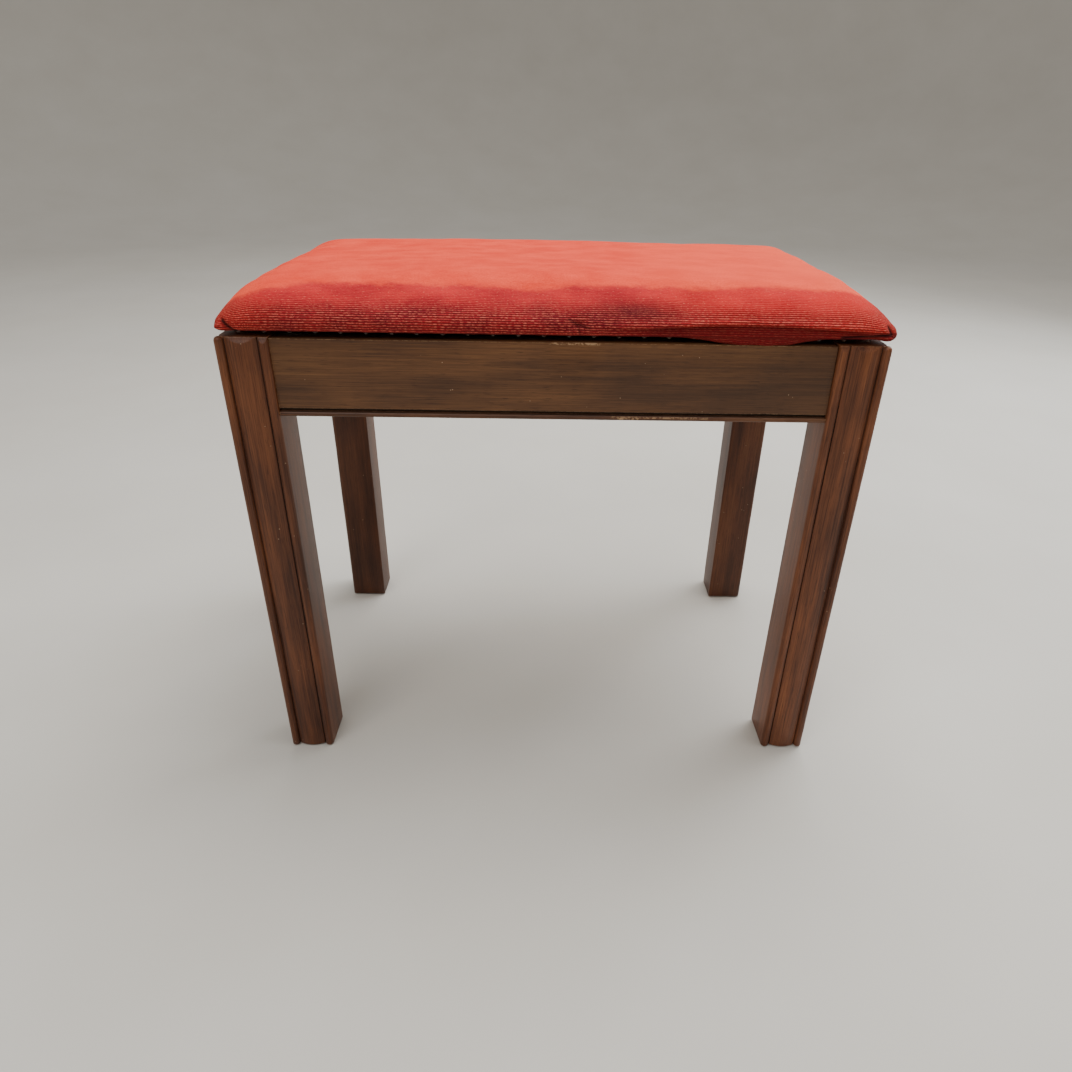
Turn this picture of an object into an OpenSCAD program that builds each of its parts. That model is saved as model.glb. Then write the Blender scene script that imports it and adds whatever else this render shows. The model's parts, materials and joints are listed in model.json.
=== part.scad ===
// Music stool: four reeded legs, a moulded apron that makes a shallow music box,
// and an upholstered lid on two butt hinges with a folding stay.
// Millimetres. Origin on the floor under the middle of the stool, +Z up,
// +X to the right of someone facing the front, and the front towards -Y.

/* [Overall size] */
// Width over the legs
stool_w = 560; // [540:5:620]
// Depth over the legs
stool_d = 340; // [330:5:380]
// Height of the leg tops above the floor
leg_top = 448; // [430:1:480]

/* [Legs] */
// Width of a leg, the same both ways
leg_w = 44.5; // [43:0.5:48]
// Depth of the grooves between the reeds
reed_d = 3; // [2:0.25:3.5]
// Radius of the bead on the outer corner
corner_bead_r = 4; // [3.5:0.25:4.5]
// Radius of the bead beside the rail
inner_bead_r = 4.25; // [3.75:0.25:4.5]
// Width of the two narrow grooves
groove_w = 0.9; // [0.6:0.1:1.2]
// How far the bevel on a leg top drops at the outer faces
top_bevel_drop = 4.5; // [3:0.5:6]
// Thickness of the glide under each foot
glide_h = 2; // [1.5:0.5:4]

/* [Rails] */
// Height of a rail without its bead
rail_h = 62.5; // [58:0.5:75]
// Thickness of a rail
rail_t = 18; // [16:0.5:20]
// How far a rail stands back from the leg faces
rail_back = 3.5; // [2:0.5:5]
// Height of the bead along the bottom
bead_h = 4.5; // [3.5:0.5:6]
// How far the bead stands in front of the rail
bead_proud = 1.2; // [0.5:0.1:2]
// Height of the groove between rail and bead
quirk_h = 2.8; // [2:0.1:4]
// Depth of that groove
quirk_d = 2.5; // [1.5:0.1:3.5]
// Length of each tenon
tenon_l = 20; // [15:1:22]
// Thickness of each tenon
tenon_t = 8; // [6:0.5:9]
// Thickness of the plywood floor of the music box
panel_t = 4; // [3:0.5:6]

/* [Seat] */
// Space between the leg tops and the seat
seat_gap = 4; // [3:0.5:5]
// Thickness of the seat at its middle
seat_h = 33; // [28:1:40]
// How far the seat side stands in from the leg faces
seat_in = 3.5; // [2:0.5:6]
// Thickness of the plywood board
board_t = 12; // [9:1:15]
// Thickness of the cover cloth
cloth_t = 2; // [1:0.25:2.5]
// Width of cloth turned under the board
turn_under = 38; // [30:1:45]
// Distance between the tacks
tack_pitch = 20.5; // [15:0.5:40]

/* [Hinges and stay] */
// Length of a butt hinge
hinge_l = 50; // [40:5:60]
// Distance of each hinge from the middle
hinge_x = 170; // [120:5:190]
// Thickness of a hinge leaf
leaf_t = 1.4; // [1.2:0.1:1.6]
// Length of a hinge leaf from the pin
leaf_w = 17; // [14:0.5:17.5]
// Angle of the open lid
lid_open = 98; // [90:1:100]
// Thickness of the stay's brass strip
stay_t = 1.6; // [1.2:0.1:1.8]
// Half the width of a stay arm
stay_r = 6; // [5:0.5:6]

/* [Hidden] */

$fn = 48;
eps = 0.01;
half_w = stool_w / 2;
half_d = stool_d / 2;

wood = [0.36, 0.20, 0.13];
ply = [0.72, 0.56, 0.38];
brass = [0.72, 0.56, 0.27];
steel = [0.62, 0.62, 0.62];
velvet = [0.75, 0.16, 0.11];

// Heights
rail_top = leg_top - 1;
rail_low = rail_top - rail_h;
bead_low = rail_low - bead_h;
seat_low = leg_top + seat_gap;
seat_top = seat_low + seat_h;
fold_t = 1.2;                     // cloth turned under, pressed flat
board_low = seat_low + fold_t;
lining_t = 0.8;

// Distances in from the outside of the legs
rail_in = rail_back + rail_t;
tenon_in = rail_back + (rail_t - tenon_t) / 2;
ledge = 7;                        // width of the bead strip that carries the floor
fit = 0.1;                        // clearance of a glued joint

// Corners as [name, x side, y side]
corners = [["front_left", -1, -1], ["front_right", 1, -1], ["rear_left", -1, 1], ["rear_right", 1, 1]];
// Sides as [name, turn of the front rail, length between the legs]
sides = [
    ["front", 0, stool_w - 2 * leg_w], ["rear", 180, stool_w - 2 * leg_w],
    ["left", -90, stool_d - 2 * leg_w], ["right", 90, stool_d - 2 * leg_w]
];
function side_half(turn) = abs(turn) == 90 ? half_w : half_d;

// Hinge pin line
knuckle_r = 2.2;
hinge_pin_r = 1.2;
hinge_y = half_d - 2.7;
hinge_z = (rail_top + seat_low) / 2;
leaf_drop = (seat_low - rail_top) / 2;
knuckles = 5;
leaf_screws = [-16, 0, 16];
leaf_screw_y = -leaf_w / 2 - 1;

// Screws
screw_r = 1.5;
screw_head_r = 2.9;
screw_head_h = 1.2;
screw_l = 11;
pilot = 0.05;

// Stay: the hinge line, the plate pivot, the knee and the bracket pivot make a parallelogram
plate_pivot = [hinge_y - 62, hinge_z - 30];
bracket_pivot = [hinge_y - 118, hinge_z - 8];
knee = plate_pivot + bracket_pivot - [hinge_y, hinge_z];
plate_x = -(half_w - rail_in);    // inner face of the left rail
plate_t = 1.5;
lower_x = plate_x + plate_t + 0.2;
upper_x = lower_x + stay_t + 0.2;
ear_x = upper_x + stay_t + 0.2;
rivet_r = 2;
rivet_head_r = 3.8;
stay_heel = 12;
bracket_out = 14.8;               // reach of the bracket's foot over the rail

// ---------- small shapes ----------

// Moves a shape made for the front left corner to any corner
module at_corner(sx, sy) {
    mirror([sx > 0 ? 1 : 0, 0, 0])
        mirror([0, sy > 0 ? 1 : 0, 0])
            translate([-half_w, -half_d, 0])
                children();
}

// Rectangle with round corners, from its lower and upper corner
module round_rect(low, high, r) {
    size = high - low;
    translate(low) {
        translate([r, 0]) square([size[0] - 2 * r, size[1]]);
        translate([0, r]) square([size[0], size[1] - 2 * r]);
        for (x = [r, size[0] - r], y = [r, size[1] - r])
            translate([x, y]) circle(r);
    }
}

// Flat strip with round ends between two [y, z] points, standing in the YZ plane
module strip(a, b, r, t, tail = 0) {
    d = b - a;
    run = norm(d);
    translate([0, a[0], a[1]])
        rotate([atan2(d[1], d[0]), 0, 0])
            rotate([90, 0, 90])
                linear_extrude(t) {
                    translate([-tail, -r]) square([run + tail, 2 * r]);
                    translate([run, 0]) circle(r);
                    if (tail == 0) circle(r);
                }
}

// Countersunk wood screw, head up at z = 0, pointing down
module wood_screw(length = screw_l) {
    difference() {
        union() {
            translate([0, 0, -screw_head_h])
                cylinder(h = screw_head_h, r1 = screw_r, r2 = screw_head_r, $fn = 32);
            translate([0, 0, -length + 2])
                cylinder(h = length - 2 - screw_head_h, r = screw_r, $fn = 32);
            translate([0, 0, -length])
                cylinder(h = 2, r1 = 0.3, r2 = screw_r, $fn = 32);
        }
        translate([-screw_head_r, -0.35, -0.6]) cube([2 * screw_head_r, 0.7, 1]);
    }
}

// Hole for that screw through a plate of thickness t, its top at z = 0
module screw_hole(t) {
    translate([0, 0, -screw_head_h])
        cylinder(h = screw_head_h + eps, r1 = screw_r + pilot, r2 = screw_head_r + pilot, $fn = 32);
    translate([0, 0, -t - 1]) cylinder(h = t + 1, r = screw_r + pilot, $fn = 32);
}

// Pilot hole in wood, its mouth at z = 0
module pilot_hole() {
    translate([0, 0, -screw_l - 1]) cylinder(h = screw_l + 2, r = screw_r + pilot, $fn = 32);
}

// Tack or pin with a domed head: head under z = 0 and shank up
module tack(shank, head_r = 2.4, head_h = 1.2, shank_r = 0.7) {
    translate([0, 0, -head_h]) cylinder(h = head_h, r1 = head_r * 0.6, r2 = head_r, $fn = 16);
    translate([0, 0, -eps]) cylinder(h = shank + eps, r = shank_r, $fn = 16);
}

// ---------- legs and glides ----------

// One moulded face of a leg along X: corner bead, groove, wide reed, groove, inner bead
module reeds() {
    wide_from = 2 * corner_bead_r + groove_w;
    wide_to = leg_w - 2 * inner_bead_r - groove_w;
    half = (wide_to - wide_from) / 2;
    reed_r = (half * half + reed_d * reed_d) / (2 * reed_d);
    intersection() {
        translate([wide_from + half, reed_r]) circle(reed_r, $fn = 96);
        translate([wide_from, 0]) square([2 * half, reed_d + 1]);
    }
    translate([leg_w - inner_bead_r, inner_bead_r]) circle(inner_bead_r);
}

// The two narrow grooves of one face
module reed_grooves() {
    for (x = [2 * corner_bead_r, leg_w - 2 * inner_bead_r - groove_w])
        translate([x, -1]) square([groove_w, 2 + reed_d + 0.8]);
}

module leg_section() {
    ease = 1.2;
    swap = [[0, 1, 0], [1, 0, 0]];
    difference() {
        union() {
            translate([reed_d, reed_d])
                square([leg_w - reed_d - inner_bead_r, leg_w - reed_d]);
            translate([reed_d, inner_bead_r])
                square([leg_w - reed_d, leg_w - inner_bead_r]);
            translate([corner_bead_r, corner_bead_r]) circle(corner_bead_r);
            reeds();
            mirror([1, -1, 0]) reeds();
        }
        reed_grooves();
        mirror([1, -1, 0]) reed_grooves();
        // eased edge on the inner corner
        translate([leg_w - ease, leg_w - ease]) difference() {
            square(ease + 1);
            circle(ease, $fn = 32);
        }
    }
}

// Wedge that bevels the top of the moulded face along X
module top_bevel() {
    reach = reed_d + 0.4;
    rise = top_bevel_drop * 1.5;
    translate([-1, 0, leg_top])
        rotate([90, 0, 90])
            linear_extrude(leg_w + 2)
                polygon([
                    [-reach, rise], [-reach, -2 * top_bevel_drop],
                    [0, -top_bevel_drop], [reach, 0], [reach, rise]
                ]);
}

// Mortise for the rail that runs along X
module mortise() {
    translate([leg_w - tenon_l - 0.5, tenon_in - fit, rail_low + 8 - fit])
        cube([tenon_l + 1.5, tenon_t + 2 * fit, rail_h - 16 + 2 * fit]);
}

module leg(sx, sy) {
    color(wood) at_corner(sx, sy)
        difference() {
            translate([0, 0, glide_h])
                linear_extrude(leg_top - glide_h) leg_section();
            top_bevel();
            mirror([1, -1, 0]) top_bevel();
            mortise();
            mirror([1, -1, 0]) mortise();
            translate([leg_w / 2, leg_w / 2, 0])
                cylinder(h = glide_h + 15, r = 1.25, $fn = 24);
        }
}

module glide(sx, sy) {
    rim = 0.7;
    color(steel) at_corner(sx, sy)
        translate([leg_w / 2, leg_w / 2, 0]) {
            cylinder(h = glide_h - rim, r1 = 8, r2 = 9.5);
            translate([0, 0, glide_h - rim]) cylinder(h = rim, r = 9.5);
            translate([0, 0, glide_h - eps]) cylinder(h = 13, r = 1.2, $fn = 24);
        }
}

// ---------- rails, beads and floor ----------

// Places a shape made as the front rail on any side
module on_side(turn) {
    rotate([0, 0, turn]) translate([0, -side_half(turn), 0]) children();
}

// Extrudes an outline of [depth from the leg faces, height] along X, centred
module along_side(length) {
    translate([-length / 2, 0, 0]) rotate([90, 0, 90]) linear_extrude(length) children();
}

module rail(turn, length) {
    color(wood) difference() {
        on_side(turn) {
            along_side(length)
                polygon([
                    [rail_back, rail_top], [rail_back, rail_low + quirk_h],
                    [rail_back + quirk_d, rail_low + quirk_h], [rail_back + quirk_d, rail_low],
                    [rail_in, rail_low], [rail_in, rail_top]
                ]);
            for (s = [-1, 1])
                translate([s > 0 ? length / 2 - eps : -length / 2 - tenon_l, tenon_in, rail_low + 8])
                    cube([tenon_l + eps, tenon_t, rail_h - 16]);
        }
        if (turn == 180)
            for (x = [-hinge_x, hinge_x], s = leaf_screws)
                translate([x + s, hinge_y + leaf_screw_y, rail_top]) pilot_hole();
        if (turn == -90)
            for (s = [-1, 1])
                translate([plate_x, plate_pivot[0] + s * 10, plate_pivot[1]])
                    rotate([0, 90, 0]) pilot_hole();
    }
}

module bead(turn, length) {
    nose = bead_h / 2;
    color(wood) on_side(turn)
        along_side(length - 0.2)
            translate([rail_back - bead_proud + nose, bead_low]) {
                translate([0, nose]) circle(nose, $fn = 32);
                square([rail_t + bead_proud - nose + ledge, bead_h]);
            }
}

panel_half = [half_w - rail_in - 0.5, half_d - rail_in - 0.5];

module base_panel() {
    notch = leg_w - rail_in + 0.5;
    color(ply) translate([0, 0, rail_low])
        linear_extrude(panel_t)
            difference() {
                square(2 * panel_half, center = true);
                for (x = [-1, 1], y = [-1, 1])
                    translate([x * panel_half[0], y * panel_half[1]])
                        square(2 * notch, center = true);
            }
}

// Pins along the four edges of the floor, into the ledges of the beads
module panel_pins() {
    edge = 3;
    color(steel)
        for (s = [-1, 1]) {
            for (x = [-180:90:180])
                translate([x, s * (panel_half[1] - edge), rail_low + panel_t])
                    mirror([0, 0, 1]) tack(panel_t + 3, 1.5, 0.7, 0.6);
            for (y = [-75:75:75])
                translate([s * (panel_half[0] - edge), y, rail_low + panel_t])
                    mirror([0, 0, 1]) tack(panel_t + 3, 1.5, 0.7, 0.6);
        }
}

module lid_buffer(sx) {
    color([0.15, 0.15, 0.14]) at_corner(sx, -1)
        translate([leg_w / 2 + 4, leg_w / 2 + 4, leg_top])
            cylinder(h = seat_gap - 0.1, r = 6);
}

// ---------- seat ----------

seat_half_x = half_w - seat_in;
seat_front = -(half_d - 2);
seat_rear = hinge_y - 0.3;

// The seat's outside, set in by g from its sides and top
module seat_form(g, low) {
    layers = [[0, 13, 16], [4, 22, 20], [12, 29, 26], [26, seat_h, 34]];
    hull()
        for (l = layers) {
            z = max(low, seat_low + l[1] - g - 0.5);
            translate([0, 0, l == layers[0] ? low : z])
                linear_extrude(l == layers[0] ? z + 0.5 - low : 0.5)
                    round_rect([-seat_half_x + l[0] + g, seat_front + l[0] + g],
                               [seat_half_x - l[0] - g, seat_rear - l[0] - g], l[2], $fn = 32);
        }
}

module board_outline() {
    edge = cloth_t + 1.5;
    round_rect([-seat_half_x + edge, seat_front + edge], [seat_half_x - edge, seat_rear - edge], 20);
}

module seat_board() {
    color(ply) difference() {
        translate([0, 0, board_low]) linear_extrude(board_t) board_outline();
        for (x = [-hinge_x, hinge_x], s = leaf_screws)
            translate([x + s, hinge_y + leaf_screw_y, board_low]) mirror([0, 0, 1]) pilot_hole();
        for (s = [-1, 1])
            translate([bracket_screw_x, bracket_pivot[0] + s * 9, board_low])
                mirror([0, 0, 1]) pilot_hole();
    }
}

module seat_padding() {
    color([0.85, 0.78, 0.55]) difference() {
        seat_form(cloth_t, board_low);
        translate([0, 0, board_low - 1]) linear_extrude(board_t + 1) board_outline();
    }
}

module seat_cover() {
    color(velvet) difference() {
        seat_form(0, seat_low);
        seat_form(cloth_t, board_low);
        translate([0, 0, seat_low - 1])
            linear_extrude(fold_t + 2)
                round_rect([-seat_half_x + turn_under, seat_front + turn_under],
                           [seat_half_x - turn_under, seat_rear - turn_under], 4);
    }
}

lining_low = [-seat_half_x + turn_under - 8, seat_front + turn_under - 8];
lining_high = [seat_half_x - turn_under + 8, seat_rear - turn_under + 8];

module seat_lining() {
    color([0.12, 0.11, 0.10]) translate([0, 0, seat_low - lining_t])
        linear_extrude(lining_t) round_rect(lining_low, lining_high, 3);
}

// Places children along a rectangle at about the given pitch, starting half a pitch in
module around(low, high, pitch) {
    size = high - low;
    for (side = [0, 1]) {
        n = floor(size[side] / pitch);
        step = size[side] / n;
        for (i = [0:n - 1], end = [0, 1]) {
            run = (i + 0.5) * step;
            x = side == 0 ? low[0] + run : (end == 0 ? low[0] : high[0]);
            y = side == 0 ? (end == 0 ? low[1] : high[1]) : low[1] + run;
            translate([x, y, 0]) let ($at = [x, y]) children();
        }
    }
}

// True where a hinge leaf or the stay bracket covers the cloth
function covered(p) =
    (p[1] > 0 && p[1] > seat_rear - 20 && abs(abs(p[0]) - hinge_x) < hinge_l / 2 + 4)
    || (p[0] < -seat_half_x + 20 && abs(p[1] - bracket_pivot[0]) < 20);

module seat_tacks() {
    inset = 6;
    color(steel)
        around([-seat_half_x + inset, seat_front + inset], [seat_half_x - inset, seat_rear - inset], tack_pitch)
            if (!covered($at)) translate([0, 0, seat_low]) tack(8);
}

module lining_tacks() {
    inset = 4;
    color(steel)
        around(lining_low + [inset, inset], lining_high - [inset, inset], 3 * tack_pitch)
            translate([0, 0, seat_low - lining_t]) tack(8, 2.2, 0.8);
}

// ---------- hinges ----------
// Made with the pin line on the X axis; the frame leaf is below it and the lid leaf above.

function knuckle_at(i) = -hinge_l / 2 + i * hinge_l / knuckles;

module hinge_leaf(first) {
    seg = hinge_l / knuckles;
    gap = 0.15;
    color(brass) difference() {
        union() {
            translate([-hinge_l / 2, -leaf_w, -leaf_drop])
                cube([hinge_l, leaf_w - knuckle_r - 0.4, leaf_t]);
            for (i = [first:2:knuckles - 1])
                translate([knuckle_at(i) + gap, 0, 0]) {
                    rotate([0, 90, 0]) cylinder(h = seg - 2 * gap, r = knuckle_r);
                    translate([0, -knuckle_r - 0.5, -leaf_drop])
                        cube([seg - 2 * gap, knuckle_r + 0.5, leaf_t]);
                }
        }
        translate([-hinge_l, 0, 0])
            rotate([0, 90, 0]) cylinder(h = 2 * hinge_l, r = hinge_pin_r + pilot);
        for (x = leaf_screws)
            translate([x, leaf_screw_y, leaf_t - leaf_drop]) screw_hole(leaf_t);
    }
}

module at_hinge(sx) {
    translate([sx * hinge_x, hinge_y, hinge_z]) children();
}

module hinge_pin() {
    color(steel) translate([-hinge_l / 2, 0, 0])
        rotate([0, 90, 0]) cylinder(h = hinge_l, r = hinge_pin_r);
}

module leaf_screw_set() {
    color(brass)
        for (x = leaf_screws)
            translate([x, leaf_screw_y, leaf_t - leaf_drop]) wood_screw();
}

// ---------- stay ----------

// Disc of radius r and thickness t at a [y, z] point, from x
module stay_disc(at, x, r, t) {
    translate([x, at[0], at[1]]) rotate([0, 90, 0]) cylinder(h = t, r = r);
}

module stay_plate() {
    half = 16;
    color(brass) difference() {
        translate([plate_x, 0, 0])
            strip(plate_pivot - [half - stay_r, 0], plate_pivot + [half - stay_r, 0], stay_r, plate_t);
        for (s = [-1, 1])
            translate([plate_x + plate_t, plate_pivot[0] + s * 10, plate_pivot[1]])
                rotate([0, 90, 0]) screw_hole(plate_t);
        stay_disc(plate_pivot, plate_x - 1, rivet_r + pilot, plate_t + 2);
    }
}

module stay_plate_rivet() {
    color(steel) {
        stay_disc(plate_pivot, plate_x + eps, rivet_r, upper_x - plate_x);
        stay_disc(plate_pivot, lower_x + stay_t + 0.1, rivet_head_r, 1);
    }
}

module stay_plate_screws() {
    color(brass)
        for (s = [-1, 1])
            translate([plate_x + plate_t, plate_pivot[0] + s * 10, plate_pivot[1]])
                rotate([0, 90, 0]) wood_screw();
}

// Lower arm with the bent tab that stops the knee when the lid is open
module stay_arm_lower() {
    tab = [11.7, 4.5, 1.6];       // distance from the knee, length, thickness
    run = plate_pivot - knee;
    color(brass) {
        difference() {
            translate([lower_x, 0, 0]) strip(knee, plate_pivot, stay_r, stay_t);
            for (p = [knee, plate_pivot])
                stay_disc(p, lower_x - 1, rivet_r + pilot, stay_t + 2);
        }
        translate([lower_x, knee[0], knee[1]])
            rotate([atan2(run[1], run[0]), 0, 0])
                translate([0, tab[0], -stay_r - tab[2]])
                    cube([2 * stay_t + 0.2, tab[1], tab[2] + 0.001]);
        translate([lower_x, knee[0], knee[1]])
            rotate([atan2(run[1], run[0]), 0, 0])
                translate([0, tab[0], -stay_r - 0.001])
                    cube([stay_t, tab[1], 1]);
    }
}

module stay_knee_rivet() {
    color(steel) {
        stay_disc(knee, lower_x - 1.1, rivet_head_r, 1);
        stay_disc(knee, lower_x - 0.2, rivet_r, ear_x - lower_x + 0.2);
        stay_disc(knee, upper_x + stay_t + 0.1, rivet_head_r, 1);
    }
}

module stay_arm_upper() {
    color(brass) difference() {
        translate([upper_x, 0, 0]) strip(knee, bracket_pivot, stay_r, stay_t, stay_heel);
        stay_disc(knee, upper_x - 1, rivet_r + pilot, stay_t + 2);
        stay_disc(bracket_pivot, upper_x - 1, rivet_r + 2 * pilot, stay_t + 2);
    }
}

bracket_screw_x = ear_x - bracket_out / 2;

// Angle bracket: a foot under the seat and an ear that hangs into the box
module stay_bracket() {
    half = 14;
    foot_z = seat_low - plate_t;
    color(brass) difference() {
        union() {
            translate([ear_x - bracket_out, bracket_pivot[0] - half, foot_z])
                cube([bracket_out + plate_t, 2 * half, plate_t]);
            translate([ear_x, bracket_pivot[0] - stay_r, bracket_pivot[1]])
                cube([plate_t, 2 * stay_r, foot_z - bracket_pivot[1] + eps]);
            stay_disc(bracket_pivot, ear_x, stay_r, plate_t);
        }
        for (s = [-1, 1])
            translate([bracket_screw_x, bracket_pivot[0] + s * 9, foot_z])
                mirror([0, 0, 1]) screw_hole(plate_t);
        stay_disc(bracket_pivot, ear_x - 1, rivet_r + pilot, plate_t + 2);
    }
}

module stay_bracket_pin() {
    color(steel) {
        stay_disc(bracket_pivot, upper_x - 1.1, rivet_head_r, 1);
        stay_disc(bracket_pivot, upper_x - 0.2, rivet_r, ear_x + plate_t - upper_x);
    }
}

module stay_bracket_screws() {
    color(brass)
        for (s = [-1, 1])
            translate([bracket_screw_x, bracket_pivot[0] + s * 9, seat_low - plate_t])
                mirror([0, 0, 1]) wood_screw();
}

// ---------- nodes ----------

for (c = corners) {
    leg(c[1], c[2]);
    glide(c[1], c[2]);
}
for (s = sides) {
    rail(s[1], s[2]);
    bead(s[1], s[2]);
}
base_panel();
panel_pins();
seat_board();
seat_padding();
seat_cover();
seat_lining();
seat_tacks();
lining_tacks();
for (s = [["left", -1], ["right", 1]]) {
    lid_buffer(s[1]);
    at_hinge(s[1]) hinge_leaf(0);
    at_hinge(s[1]) mirror([0, 0, 1]) hinge_leaf(1);
    at_hinge(s[1]) hinge_pin();
}
for (s = [-1, 1]) at_hinge(s) leaf_screw_set();  // hinge_screws_frame
for (s = [-1, 1]) at_hinge(s) mirror([0, 0, 1]) leaf_screw_set();  // hinge_screws_lid
stay_plate();
stay_plate_rivet();
stay_plate_screws();
stay_arm_lower();
stay_knee_rivet();
stay_arm_upper();
stay_bracket();
stay_bracket_pin();
stay_bracket_screws();
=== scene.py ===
# %% [markdown]
# # A piano bench with a velvet seat
#
# This lesson dresses a imported model of a small piano bench: four reeded legs, a moulded
# apron that makes a shallow music box, and a padded lid on two hinges. The imported model
# is the frame. It fixes every size and every moving part, and Blender adds the looks.
# So the first step is to load it.

# %% Load the frame
import json
import math

import bmesh
import bpy
import numpy as np
from mathutils import Matrix, Vector, noise


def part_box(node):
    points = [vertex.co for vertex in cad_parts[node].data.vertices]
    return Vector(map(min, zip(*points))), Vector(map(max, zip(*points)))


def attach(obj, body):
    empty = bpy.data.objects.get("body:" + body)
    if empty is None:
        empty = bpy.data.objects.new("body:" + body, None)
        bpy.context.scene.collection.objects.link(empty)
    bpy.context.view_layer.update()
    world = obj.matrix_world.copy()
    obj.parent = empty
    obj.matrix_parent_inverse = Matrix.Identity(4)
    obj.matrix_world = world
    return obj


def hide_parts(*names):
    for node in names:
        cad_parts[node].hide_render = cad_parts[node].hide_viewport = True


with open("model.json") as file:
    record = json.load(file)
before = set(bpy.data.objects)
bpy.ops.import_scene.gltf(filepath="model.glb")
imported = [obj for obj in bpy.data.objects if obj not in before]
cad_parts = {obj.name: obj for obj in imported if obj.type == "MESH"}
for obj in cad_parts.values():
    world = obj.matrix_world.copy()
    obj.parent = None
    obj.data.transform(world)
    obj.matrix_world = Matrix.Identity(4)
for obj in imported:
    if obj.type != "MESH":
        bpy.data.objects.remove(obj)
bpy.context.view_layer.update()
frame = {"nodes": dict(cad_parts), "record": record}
nodes = frame["nodes"]
mm = 0.001

# %% [markdown]
# The bench is seen from the front, a little above the seat, through a wide lens. Such a
# view makes the legs lean towards each other at the bottom. The camera could be aimed
# with a constraint, but a matrix holds its small roll as well, so its three axes are
# worked out from the yaw, the pitch and the roll.

# %% Camera
def camera_matrix(place, yaw, pitch, roll):
    flat = math.cos(pitch)
    ahead = Vector((math.sin(yaw) * flat, math.cos(yaw) * flat, -math.sin(pitch)))
    level = Vector((math.cos(yaw), -math.sin(yaw), 0))
    up = level.cross(ahead)
    right = math.cos(roll) * level + math.sin(roll) * up
    over = -math.sin(roll) * level + math.cos(roll) * up
    turn = Matrix((right, over, -ahead)).transposed().to_4x4()
    return Matrix.Translation(place) @ turn


lens = bpy.data.cameras.new("camera")
lens.sensor_width = 36
lens.lens = 24.77
lens.shift_x, lens.shift_y = -0.0186, -0.0181
lens.clip_start, lens.clip_end = 0.05, 30
camera = bpy.data.objects.new("camera", lens)
bpy.context.scene.collection.objects.link(camera)
camera_place = Vector((-0.0116, -0.7701, 0.6042))
yaw, pitch, roll = (math.radians(degrees) for degrees in (1.3715, 27.856, 1.228))
camera.matrix_world = camera_matrix(camera_place, yaw, pitch, roll)
bpy.context.scene.camera = camera
print("camera at", [round(v, 3) for v in camera.location])

# %% [markdown]
# Shader maths reads best as plain sums. The small class below wraps a socket, so that
# `1 - mask * 0.5` adds the Math nodes by itself. A second class holds one material: it
# makes any other node with one method, and ends in a Principled shader whose constant
# settings are given by name.

# %% Shader helpers
class Value:
    """One number that changes over the surface, as a node's output socket."""

    def __init__(self, finish, socket):
        self.finish, self.socket = finish, socket

    def sum(self, operation, a, b):
        return Value(self.finish, self.finish.node("Math", {"operation": operation}, {0: a, 1: b}))

    def __add__(self, other):
        return self.sum("ADD", self, other)

    def __radd__(self, other):
        return self.sum("ADD", other, self)

    def __sub__(self, other):
        return self.sum("SUBTRACT", self, other)

    def __rsub__(self, other):
        return self.sum("SUBTRACT", other, self)

    def __mul__(self, other):
        return self.sum("MULTIPLY", self, other)

    def __rmul__(self, other):
        return self.sum("MULTIPLY", other, self)

    def __pow__(self, other):
        return self.sum("POWER", self, other)

    def __gt__(self, other):
        return self.sum("GREATER_THAN", self, other)

    def between(self, low, high):
        """0 below low, 1 above high, and smooth from one to the other."""
        settings = {"interpolation_type": "SMOOTHSTEP"}
        sockets = {0: self, 1: low, 2: high}
        return Value(self.finish, self.finish.node("MapRange", settings, sockets))


def plain(value):
    return value.socket if isinstance(value, Value) else value


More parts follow.
